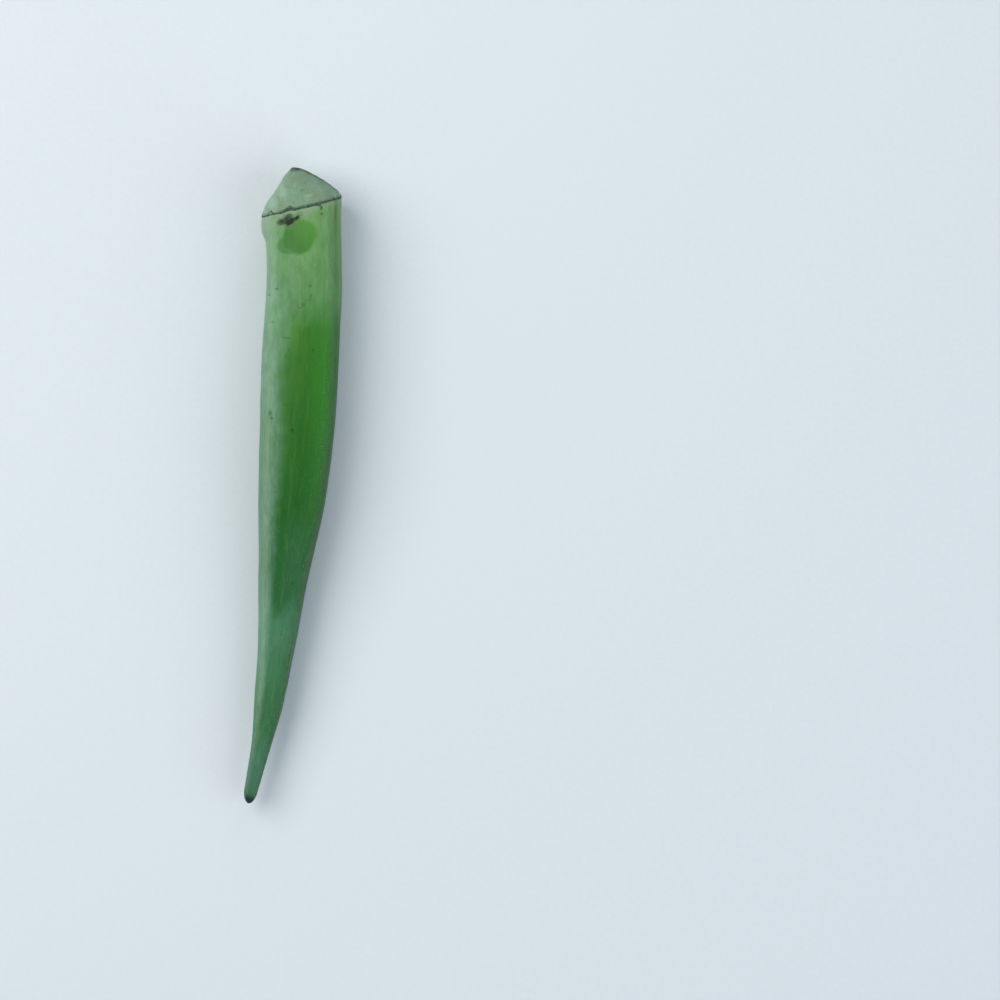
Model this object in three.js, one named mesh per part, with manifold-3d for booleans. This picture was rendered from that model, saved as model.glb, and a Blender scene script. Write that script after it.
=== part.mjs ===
// An okra pod as picked, with its cut stem cap, lying on its belly with the tip bent aside.
// Millimetres, +Z up, the stem end at +Y and the tip at -Y. There are two solids: the ridged
// pod, and the stem cap beyond it. They meet at the scar that the fallen calyx left.

import * as THREE from 'three';
import { mergeVertices } from 'three/addons/utils/BufferGeometryUtils.js';
import Module from 'manifold-3d';

const { clamp, degToRad, euclideanModulo, lerp, smoothstep } = THREE.MathUtils;
const wasm = await Module();
wasm.setup();

// The pod: its length from scar to tip, and its mean radius at distances below the scar
const podLength = 142;
const podOutline = [
	[ 0.6, 9.7 ], [ 5, 9.35 ], [ 11, 9.05 ], [ 20, 9.15 ], [ 32, 9.3 ], [ 50, 9.05 ], [ 69, 8.1 ],
	[ 88, 6.0 ], [ 107, 4.25 ], [ 117, 3.6 ], [ 128, 2.35 ], [ 138.6, 1.62 ],
];

// Where the pod's axis lies, at equal steps from the scar to the tip
const axisSide = [ - 0.1, 0.4, - 0.5, - 1.3, - 2.65, - 4.55, - 6.35, - 8.95, - 12.85 ];
const axisHeight = [ 9.05, 8.95, 8.9, 8.55, 7.75, 6.8, 6.1, 5.7, 5.6 ];

// The five ridges: degrees from the top towards +X at mid length, and their relative heights
const ridgeAngles = [ - 44, 46, 114, 181, 249 ];
const ridgeHeights = [ 1, 1, 0.9, 0.6, 0.9 ];
const ridgeRise = 0.036; // of the radius, from the mean to a crest, in the thick part
const taperRise = 0.06; // the same towards the tip, where the pod is more angular
const taperStart = 50;
const taperEnd = 110;
const ridgePeak = 1.5; // 1 is a plain wave, and more is a narrower crest
const ridgeTwist = 14; // degrees that the ridges turn from scar to tip

// The scar between the solids: a groove with rounded edges, tilted sideways and leaning back
const scarTilt = degToRad( 13.7 );
const scarLean = degToRad( 3.2 );
const tiltRun = 16; // length of pod that takes up the tilt and the lean
const scarGap = 0.3;
const edgeRound = 0.45;

// The stem cap: its radius at heights above the scar, and the slanting cut through the stalk,
// as a point on it and its facing, each across the cap, along it and up
const capOutline = [ [ 0.6, 9.7 ], [ 3, 8.15 ], [ 5.2, 6.05 ], [ 7, 4.75 ], [ 8.4, 4.05 ], [ 11.2, 1.4 ] ];
const capLean = 0.029; // the stalk drifts aside by this times its height squared
const cutPoint = new THREE.Vector3( 3.04, 6.85, - 0.41 );
const cutFacing = new THREE.Vector3( 0.62, 0.77, - 0.28 );

// A fuller left side about the scar, as a share of the half width, and the heights above the
// scar where it starts, is full, is no longer full and ends
const leftSwell = 0.08;
const leftSwellRun = [ - 7.2, - 3.3, - 2.5, 2.2 ];

// How finely the surfaces are divided
const stepsPerFace = 12;
const stepsPerSpan = 4;
const stepsPerRound = 4;

// Directions: straight up, and at the scar across it, up it, and along the cap's axis
const up = new THREE.Vector3( 0, 0, 1 );
const across = new THREE.Vector3( 1, 0, 0 ).applyAxisAngle( up, scarTilt );
const scarUp = up.clone().applyAxisAngle( across, scarLean );
const along = new THREE.Vector3().crossVectors( scarUp, across );

const axisStep = podLength / ( axisSide.length - 1 );
const podAxis = new THREE.CatmullRomCurve3(
	axisSide.map( ( side, i ) => new THREE.Vector3( side, - i * axisStep, axisHeight[ i ] ) ),
	false, 'catmullrom', 0.5,
);
const capFrame = new THREE.Matrix4().makeBasis( across, along, scarUp ).setPosition( podAxis.getPoint( 0 ) );

// A smooth outline through [ height, radius ] pairs
function outlineThrough( pairs ) {

	const points = pairs.map( ( [ height, radius ] ) => new THREE.Vector2( radius, height ) );
	return new THREE.SplineCurve( points ).getPoints( ( points.length - 1 ) * stepsPerSpan );

}

// A quarter of an ellipse about (x, y): its lower half starts below it, its upper half beside it
function quarterRound( x, y, width, height, isLower ) {

	const points = [];
	for ( let i = 0; i <= stepsPerRound; i ++ ) {

		const angle = ( i / stepsPerRound - ( isLower ? 1 : 0 ) ) * Math.PI / 2;
		points.push( new THREE.Vector2( x + width * Math.cos( angle ), y + height * Math.sin( angle ) ) );

	}

	return points;

}

// Where a lathe angle falls between two ridges, and how far the surface stands out there
function ridgeAt( latheAngle, below ) {

	const turn = euclideanModulo( latheAngle / ( 2 * Math.PI ), 1 ) * ridgeAngles.length;
	const face = Math.floor( turn ) % ridgeAngles.length;
	const next = ( face + 1 ) % ridgeAngles.length;
	const share = turn - Math.floor( turn );
	const span = euclideanModulo( ridgeAngles[ next ] - ridgeAngles[ face ], 360 );
	const twist = ridgeTwist * ( below / podLength - 0.5 );
	const crest = ( 0.5 + 0.5 * Math.cos( 2 * Math.PI * share ) ) ** ridgePeak;
	const height = share < 0.5 ? ridgeHeights[ face ] : ridgeHeights[ next ];
	return {
		angle: degToRad( ridgeAngles[ face ] + share * span + twist ),
		lift: crest * ( 1 + height ) - 1,
	};

}

// Where a point beside the axis lies once the left side has swelled
function swelled( side, height ) {

	const [ start, full, fullEnd, end ] = leftSwellRun;
	const share = smoothstep( height, start, full ) * ( 1 - smoothstep( height, fullEnd, end ) );
	return side < 0 ? side * ( 1 + leftSwell * share ) : side;

}

// Turns an outline about the Y axis, raises the ridges, and moves each point with place()
function ridgedLathe( outline, rise, place ) {

	const geometry = new THREE.LatheGeometry( outline, stepsPerFace * ridgeAngles.length );
	const position = geometry.getAttribute( 'position' );
	const point = new THREE.Vector3();
	for ( let i = 0; i < position.count; i ++ ) {

		point.fromBufferAttribute( position, i );
		const ridge = ridgeAt( Math.atan2( point.x, point.z ), Math.max( 0, - point.y ) );
		const reach = Math.hypot( point.x, point.z ) * ( 1 + ridge.lift * rise( point.y ) );
		const side = swelled( reach * Math.sin( ridge.angle ), point.y );
		place( point.set( side, point.y, reach * Math.cos( ridge.angle ) ) );
		position.setXYZ( i, point.x, point.y, point.z );

	}

	return geometry;

}

// A closed geometry as a solid to cut, without the lathe's collapsed triangles on the axis
function toSolid( geometry ) {

	geometry.deleteAttribute( 'normal' );
	geometry.deleteAttribute( 'uv' );
	const merged = mergeVertices( geometry );
	const index = merged.index.array;
	const triVerts = [];
	for ( let i = 0; i < index.length; i += 3 ) {

		const [ a, b, c ] = index.slice( i, i + 3 );
		if ( a !== b && b !== c && c !== a ) triVerts.push( a, b, c );

	}

	return new wasm.Manifold( new wasm.Mesh( {
		numProp: 3,
		vertProperties: new Float32Array( merged.getAttribute( 'position' ).array ),
		triVerts: new Uint32Array( triVerts ),
	} ) );

}

function toGeometry( solid ) {

	const mesh = solid.getMesh();
	const geometry = new THREE.BufferGeometry();
	geometry.setAttribute( 'position', new THREE.BufferAttribute( mesh.vertProperties, 3 ) );
	geometry.setIndex( new THREE.BufferAttribute( mesh.triVerts, 1 ) );
	geometry.computeVertexNormals();
	return geometry;

}

// A cube that stands on the plane through a point, on the side that the plane faces
function blockBeyond( point, facing, size ) {

	const block = new THREE.BoxGeometry( size, size, size );
	block.translate( 0, 0, size / 2 );
	block.applyQuaternion( new THREE.Quaternion().setFromUnitVectors( up, facing ) );
	block.translate( point.x, point.y, point.z );
	return toSolid( block );

}

// The pod, whose sections are square to its axis but turn to lie along the scar near it
function makePod() {

	const [ domeStart, domeRadius ] = podOutline[ podOutline.length - 1 ];
	const [ shoulder, shoulderRadius ] = podOutline[ 0 ];
	const fromTip = podOutline.map( ( [ below, radius ] ) => [ - below, radius ] ).reverse();
	const rimRadius = shoulderRadius - edgeRound;
	const outline = [
		...quarterRound( 0, - domeStart, domeRadius, podLength - domeStart, true ),
		...outlineThrough( fromTip ).slice( 1 ),
		...quarterRound( rimRadius, - shoulder, edgeRound, shoulder - scarGap / 2, false ).slice( 1 ),
		new THREE.Vector2( 0, - scarGap / 2 ),
	];
	const rise = ( y ) => lerp( ridgeRise, taperRise, smoothstep( - y, taperStart, taperEnd ) );
	const place = ( point ) => {

		const share = clamp( - point.y / podLength, 0, 1 );
		const back = podAxis.getTangent( share ).negate();
		const nearScar = 1 - smoothstep( - point.y, 0, tiltRun );
		const side = new THREE.Vector3().crossVectors( back, up ).normalize();
		side.lerp( across, nearScar ).normalize();
		const above = new THREE.Vector3().crossVectors( side, back ).normalize();
		above.lerp( scarUp, nearScar ).normalize();
		const centre = podAxis.getPoint( share );
		point.copy( centre.addScaledVector( side, point.x ).addScaledVector( above, point.z ) );

	};

	return toSolid( ridgedLathe( outline, rise, place ) );

}

// The stem cap: the flared end of the stalk, whose ridges fade upwards, cut off at a slant
function makeCap() {

	const [ rimHeight, rimRadius ] = capOutline[ 0 ];
	const [ topHeight ] = capOutline[ capOutline.length - 1 ];
	const outline = [
		new THREE.Vector2( 0, scarGap / 2 ),
		...quarterRound( rimRadius - edgeRound, rimHeight, edgeRound, rimHeight - scarGap / 2, true ),
		...outlineThrough( capOutline ).slice( 1 ),
		new THREE.Vector2( 0, topHeight ),
	];
	const rise = ( y ) => ridgeRise * ( 1 - smoothstep( y, 0, topHeight ) );
	const place = ( point ) => {

		point.x += capLean * point.y ** 2;
		point.applyMatrix4( capFrame );

	};

	const cut = blockBeyond(
		cutPoint.clone().applyMatrix4( capFrame ), cutFacing.clone().transformDirection( capFrame ), 4 * topHeight,
	);
	return toSolid( ridgedLathe( outline, rise, place ) ).subtract( cut );

}

// A named mesh of a solid, with whatever would sink into the surface below cut off flat
function makeMesh( name, solid, color, roughness ) {

	const ground = blockBeyond( new THREE.Vector3(), up.clone().negate(), 3 * podLength );
	const material = new THREE.MeshStandardMaterial( { color, roughness, metalness: 0 } );
	const mesh = new THREE.Mesh( toGeometry( solid.subtract( ground ) ), material );
	mesh.name = name;
	return mesh;

}

const okra = new THREE.Group();
okra.add( makeMesh( 'pod', makePod(), 0x4f8a3c, 0.5 ) );
okra.add( makeMesh( 'stem_cap', makeCap(), 0x83a083, 0.65 ) );

// The origin is under the middle of the whole, on the surface that it lies on
const middle = new THREE.Box3().setFromObject( okra ).getCenter( new THREE.Vector3() );
okra.position.set( - middle.x, - middle.y, 0 );

export default okra;
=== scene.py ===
# An okra pod with its cut stem cap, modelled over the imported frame.
# Sizes in the dictionaries are millimetres and degrees; the finished meshes are in metres.

import math

import bpy
import numpy as np
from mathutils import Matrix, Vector


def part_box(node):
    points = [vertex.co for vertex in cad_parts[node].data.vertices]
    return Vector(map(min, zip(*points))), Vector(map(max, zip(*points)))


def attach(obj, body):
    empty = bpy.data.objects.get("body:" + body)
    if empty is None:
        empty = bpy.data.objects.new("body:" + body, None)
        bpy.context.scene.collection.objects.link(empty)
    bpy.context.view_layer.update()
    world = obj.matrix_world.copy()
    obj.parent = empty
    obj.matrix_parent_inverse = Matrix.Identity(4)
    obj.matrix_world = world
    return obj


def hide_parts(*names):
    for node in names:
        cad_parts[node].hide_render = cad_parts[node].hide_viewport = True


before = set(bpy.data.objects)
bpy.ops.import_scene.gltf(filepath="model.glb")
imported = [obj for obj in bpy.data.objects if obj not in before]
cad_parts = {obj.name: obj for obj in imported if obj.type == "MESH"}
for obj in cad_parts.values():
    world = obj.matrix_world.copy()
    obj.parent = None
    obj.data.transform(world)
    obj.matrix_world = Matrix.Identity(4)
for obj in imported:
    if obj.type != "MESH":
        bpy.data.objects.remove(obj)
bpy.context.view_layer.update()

mm = 0.001


# Numbers and noise

def blend(a, b, share):
    return a + (b - a) * share


def smoothRise(x, low, high):
    t = np.clip((x - low) / (high - low), 0, 1)
    return t * t * (3 - 2 * t)


# Rises from 0 to 1 and falls back
def between(x, start, full, thins, end):
    return smoothRise(x, start, full) * (1 - smoothRise(x, thins, end))


def bump(x, width):
    return np.exp(-(x / width) ** 2)


# Sets values closer together at the ends of each unit
def closerAtEnds(share, closeness):
    return share - closeness * np.sin(2 * math.pi * share) / (2 * math.pi)


def normalised(vectors):
    return vectors / np.linalg.norm(vectors, axis=-1, keepdims=True)


# How far an angle lies from a direction in degrees, between -pi and pi
def turnFrom(angle, degrees):
    return (angle - math.radians(degrees) + math.pi) % (2 * math.pi) - math.pi


# A soft stripe along the pod, at degrees from the top and with a half width in degrees
def stripe(angle, degrees, halfWidth):
    return bump(turnFrom(angle, degrees), math.radians(halfWidth))


# A smooth curve through evenly spaced values, read at positions counted in values
def throughPoints(points, at, extendEnds):
    points = np.asarray(points, float)
    first, last = points[0], points[-1]
    if extendEnds:
        first, last = 2 * points[0] - points[1], 2 * points[-1] - points[-2]
    padded = np.vstack([[first], points, [last]])
    at = np.clip(at, 0, len(points) - 1)
    span = np.minimum(at.astype(int), len(points) - 2)
    t = (at - span)[..., None]
    before, start, end, after = (padded[span + i] for i in range(4))
    leave, arrive = (end - before) / 2, (after - start) / 2
    cubic = 2 * (start - end) + leave + arrive
    square = 3 * (end - start) - 2 * leave - arrive
    return ((cubic * t + square) * t + leave) * t + start


# Smooth random values from -1 to 1, in cells round and along the pod.
# The turn goes from 0 to 1 round it, and the pattern closes on itself.
def softNoise(turn, along, cells, cellLength, seed):
    rowCount = 64
    table = np.random.default_rng(seed).uniform(-1, 1, (rowCount, cells))
    u, v = np.broadcast_arrays(turn * cells, along / cellLength)
    column, row = np.floor(u).astype(int), np.floor(v).astype(int)
    s, t = u - column, v - row
    s, t = s * s * (3 - 2 * s), t * t * (3 - 2 * t)

    def corner(down, right):
        return table[(row + down) % rowCount, (column + right) % cells]

    return blend(blend(corner(0, 0), corner(0, 1), s), blend(corner(1, 0), corner(1, 1), s), t)


# Layers of noise, each a height, its cells round the pod, their length and a seed
def noiseLayers(turn, along, layers):
    return sum(height * softNoise(turn, along, *layer) for height, *layer in layers)


# The pod's form, as in the frame

podForm = {
    "length": 142,  # from the scar to the tip
    "outline": [  # distance below the scar, mean radius
        (0.6, 9.7), (5, 9.35), (11, 9.05), (20, 9.15), (32, 9.3), (50, 9.05), (69, 8.1),
        (88, 6.0), (107, 4.25), (117, 3.6), (128, 2.35), (138.6, 1.62),
    ],
    # where the axis lies, at equal steps from the scar to the tip
    "axisSide": [-0.1, 0.4, -0.5, -1.3, -2.65, -4.55, -6.35, -8.95, -12.85],
    "axisHeight": [9.05, 8.95, 8.9, 8.55, 7.75, 6.8, 6.1, 5.7, 5.6],
    "ridgeAngles": [-44, 46, 114, 181, 249],  # from the top, towards +X
    "ridgeHeights": [1, 1, 0.9, 0.6, 0.9],
    "ridgeRise": 0.036,  # of the radius, from the mean to a crest
    "taperRise": 0.06,  # the same towards the tip, where the pod is more angular
    "taper": (50, 110),
    "ridgePeak": 1.5,  # 1 is a plain wave, and more is a narrower crest
    "ridgeTwist": 14,  # how far the ridges turn from scar to tip
    "scarTilt": 13.7,  # sideways
    "scarLean": 3.2,  # backwards
    "tiltRun": 16,  # length of pod that takes up the tilt and the lean
    "leftSwell": 0.08,  # a fuller left side about the scar, as a share of the half width
    "leftSwellRun": (-7.2, -3.3, -2.5, 2.2),  # heights where it starts, is full, thins and ends
    "lip": [(0.3, 0.02), (0.08, 0.1), (0, 0.3), (0, 1.6)],  # the upper edge: below the scar, in from the rim
    "poleAngle": 0.05,  # radians left open at the tip's pole
    "domeSteps": 40,  # fine steps along which the rows are then set
    "bodySteps": 1500,
    "outlineSamples": 1200,
    "rowCloseness": 0.55,  # rows are closer set at both ends
    "columnCloseness": 0.45,  # and columns at the crests
    "measureRows": 500,
    "measureColumns": 60,  # between two crests
}

ridgeCount = len(podForm["ridgeAngles"])
scarTilt, scarLean = math.radians(podForm["scarTilt"]), math.radians(podForm["scarLean"])
up = np.array([0, 0, 1.0])
across = np.array([math.cos(scarTilt), math.sin(scarTilt), 0])
scarUp = np.array([math.sin(scarTilt) * math.sin(scarLean), -math.cos(scarTilt) * math.sin(scarLean),
                   math.cos(scarLean)])
along = np.cross(scarUp, across)


def axisPoint(share):
    steps = len(podForm["axisSide"]) - 1
    side, height = np.array(podForm["axisSide"]), np.array(podForm["axisHeight"])
    fall = -np.arange(steps + 1) * podForm["length"] / steps
    return throughPoints(np.stack([side, fall, height], 1), share * steps, True)


# For lathe positions counted in ridges: the true angle, the wave of the ridges, and the angles from
# the nearest crest and from the middle of the face
def ridgeField(position, below):
    angles, heights = np.array(podForm["ridgeAngles"]), np.array(podForm["ridgeHeights"])
    face = np.floor(position).astype(int) % ridgeCount
    following = (face + 1) % ridgeCount
    share = position - np.floor(position)
    span = (angles[following] - angles[face]) % 360
    twist = podForm["ridgeTwist"] * (below / podForm["length"] - 0.5)
    crest = (0.5 + 0.5 * np.cos(2 * math.pi * share)) ** podForm["ridgePeak"]
    height = np.where(share < 0.5, heights[face], heights[following])
    angle = np.radians(angles[face] + share * span + twist)
    fromCrest = np.minimum(share, 1 - share) * np.radians(span)
    fromSeam = np.abs(share - 0.5) * np.radians(span)
    return angle, crest * (1 + height) - 1, fromCrest, fromSeam


# Where points beside the axis lie once the left side has swelled
def swelled(x, height):
    share = between(height, *podForm["leftSwellRun"])
    return np.where(x < 0, x * (1 + podForm["leftSwell"] * share), x)


# Bends points of the straight pod, x across and z up, onto its axis
def bendPod(x, below, z):
    x = swelled(x, -below)
    share = np.clip(below / podForm["length"], 0, 1)
    nudge = 0.0001
    ahead, behind = np.clip(share + nudge, 0, 1), np.clip(share - nudge, 0, 1)
    back = normalised(axisPoint(behind) - axisPoint(ahead))
    nearScar = 1 - smoothRise(below, 0, podForm["tiltRun"])[..., None]
    side = normalised(blend(normalised(np.cross(back, up)), across, nearScar))
    above = normalised(blend(normalised(np.cross(side, back)), scarUp, nearScar))
    return axisPoint(share) + side * x[..., None] + above * z[..., None]


# The radius of an outline of [place, radius] pairs
def outlineRadius(outline, place, samples):
    pairs = throughPoints(outline, np.linspace(0, len(outline) - 1, samples), False)
    return np.interp(place, pairs[:, 0], pairs[:, 1])


def podRadius(below):
    return outlineRadius(podForm["outline"], below, podForm["outlineSamples"])


# The outline from the tip to the scar, as distances below the scar and radii
def podRows(count):
    domeStart, domeRadius = podForm["outline"][-1]
    domeLength = podForm["length"] - domeStart
    angle = np.linspace(math.pi / 2 - podForm["poleAngle"], 0, podForm["domeSteps"])
    dome = np.stack([domeStart + domeLength * np.sin(angle), domeRadius * np.cos(angle)], 1)
    body = np.linspace(domeStart, podForm["outline"][0][0], podForm["bodySteps"])[1:]
    body = np.stack([body, podRadius(body)], 1)
    rim = body[-1, 1]
    lip = np.array([[below, rim - inwards] for below, inwards in podForm["lip"]])
    line = np.vstack([dome, body, lip])
    travel = np.concatenate([[0], np.cumsum(np.linalg.norm(np.diff(line, axis=0), axis=1))])
    place = closerAtEnds(np.linspace(0, 1, count), podForm["rowCloseness"]) * travel[-1]
    return np.interp(place, travel, line[:, 0]), np.interp(place, travel, line[:, 1])


# Positions round the pod, counted in ridges
def latheColumns(perFace):
    share = closerAtEnds(np.arange(perFace) / perFace, podForm["columnCloseness"])
    return np.concatenate([face + share for face in range(ridgeCount)])


def podRise(below):
    return blend(podForm["ridgeRise"], podForm["taperRise"], smoothRise(below, *podForm["taper"]))


# Meshes from closed grids: rows along, columns round

def addObject(name, data):
    thing = bpy.data.objects.new(name, data)
    bpy.context.scene.collection.objects.link(thing)
    return thing


def meshFromGrid(name, grid, shift, fields, ringInside=False):
    rows, columns = grid.shape[:2]
    points = (grid.reshape(-1, 3) + shift) * mm
    index = np.arange(rows * columns).reshape(rows, columns)
    turned = np.roll(index, -1, axis=1)
    quads = np.stack([index[:-1], turned[:-1], turned[1:], index[1:]], -1).reshape(-1, 4)
    faces = quads.tolist()
    poles = []
    if ringInside:  # the last row meets the first again
        faces += np.stack([index[-1], turned[-1], turned[0], index[0]], -1).tolist()
    else:
        poles = [grid[0].mean(0), grid[-1].mean(0)]
        start, end = rows * columns, rows * columns + 1
        faces += [(start, b, a) for a, b in zip(index[0].tolist(), turned[0].tolist())]
        faces += [(end, a, b) for a, b in zip(index[-1].tolist(), turned[-1].tolist())]
        points = np.vstack([points, (np.array(poles) + shift) * mm])
    mesh = bpy.data.meshes.new(name)
    mesh.from_pydata(points.tolist(), [], faces)
    for field, values in fields.items():
        flat = values.reshape(rows * columns, -1)
        if poles:
            flat = np.vstack([flat, *(values[row].reshape(columns, -1).mean(0) for row in (0, -1))])
        isVector = flat.shape[1] == 3
        attribute = mesh.attributes.new(field, "FLOAT_VECTOR" if isVector else "FLOAT", "POINT")
        attribute.data.foreach_set("vector" if isVector else "value", flat.astype(np.float32).ravel())
    mesh.shade_smooth()
    mesh.update()
    return addObject(name, mesh)


def gridNormals(grid):
    alongRows = np.gradient(grid, axis=0)
    roundColumns = np.roll(grid, -1, axis=1) - np.roll(grid, 1, axis=1)
    return normalised(np.cross(roundColumns, alongRows))


# Material nodes

# A colour code such as "#88aa66" in the linear light that sockets take
def linearColor(code):
    parts = [int(code[i:i + 2], 16) / 255 for i in (1, 3, 5)]
    parts = [c / 12.92 if c <= 0.04045 else ((c + 0.055) / 1.055) ** 2.4 for c in parts]
    return (*parts, 1.0)


def addNode(tree, kind, inputs=None, **settings):
    node = tree.nodes.new("ShaderNode" + kind)
    for name, value in settings.items():
        setattr(node, name, value)
    for name, value in (inputs or {}).items():
        if isinstance(value, bpy.types.NodeSocket):
            tree.links.new(value, node.inputs[name])
        else:
            node.inputs[name].default_value = linearColor(value) if isinstance(value, str) else value
    return node


def startMaterial(name, finish):
    material = bpy.data.materials.new(name)
    material.use_nodes = True
    tree = material.node_tree
    tree.nodes.clear()
    output = addNode(tree, "OutputMaterial")
    shader = addNode(tree, "BsdfPrincipled", finish)
    tree.links.new(shader.outputs[0], output.inputs["Surface"])
    return material, tree, shader


def readField(tree, name, output="Fac"):
    return addNode(tree, "Attribute", attribute_name=name).outputs[output]


def stretched(tree, vector, scale):
    return addNode(tree, "VectorMath", {0: vector, 1: scale}, operation="MULTIPLY").outputs[0]


def noise(tree, vector, scale, detail, roughness, distortion=0.0):
    inputs = {"Vector": vector, "Scale": scale, "Detail": detail, "Roughness": roughness}
    return addNode(tree, "TexNoise", {**inputs, "Distortion": distortion}).outputs["Fac"]


# Noise with a scale of its own along the pod, against 1 across it
def longNoise(tree, straight, alongScale, *settings):
    if alongScale != 1:
        straight = stretched(tree, straight, (1.0, alongScale, 1.0))
    return noise(tree, straight, *settings)


def makeTextures(tree, straight, textures):
    return {name: longNoise(tree, straight, *settings) for name, settings in textures.items()}


def cellPattern(tree, vector, scale):
    return addNode(tree, "TexVoronoi", {"Vector": vector, "Scale": scale})


def remap(tree, value, low, high, toLow=0.0, toHigh=1.0, smooth=False):
    inputs = {0: value, 1: low, 2: high, 3: toLow, 4: toHigh}
    kind = "SMOOTHSTEP" if smooth else "LINEAR"
    return addNode(tree, "MapRange", inputs, interpolation_type=kind).outputs[0]


def calculate(tree, operation, first, second=0.0, clamped=False):
    return addNode(tree, "Math", {0: first, 1: second}, operation=operation, use_clamp=clamped).outputs[0]


def mixColors(tree, share, first, second, way="MIX"):
    inputs = {0: share, 6: first, 7: second}  # 6 and 7 are the node's colour sockets
    return addNode(tree, "Mix", inputs, data_type="RGBA", blend_type=way, clamp_factor=True).outputs[2]


def colorSteps(tree, value, steps):
    ramp = addNode(tree, "ValToRGB", {0: value})
    elements = ramp.color_ramp.elements
    while len(elements) < len(steps):
        elements.new(0.5)
    for element, (place, code) in zip(elements, steps):
        element.position = place
        element.color = linearColor(code)
    return ramp.outputs[0]


# Distance from a place, 1 at the edge of an ellipse
def spotDistance(tree, place, centre, halfLength, halfWidth):
    depthShare = 0.15  # depth counts little, but enough to spare the other side
    offset = addNode(tree, "VectorMath", {0: place, 1: centre}, operation="SUBTRACT").outputs[0]
    scaled = stretched(tree, offset, (1 / halfWidth, 1 / halfLength, depthShare / halfWidth))
    return addNode(tree, "VectorMath", {0: scaled}, operation="LENGTH").outputs["Value"]


# Bumps of some textures, one over another, with their heights in millimetres
def raiseTextures(tree, textures, heights):
    normal = None
    for name, height in heights.items():
        inputs = {"Height": textures[name], "Distance": height * mm}
        if normal is not None:
            inputs["Normal"] = normal
        normal = addNode(tree, "Bump", inputs).outputs[0]
    return normal


# The pod

# A run is where something starts, is full, thins and ends, in millimetres below the scar
fromScar = (-2, -1)  # already full at the scar
toTip = (200, 201)  # still full at the tip

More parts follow.
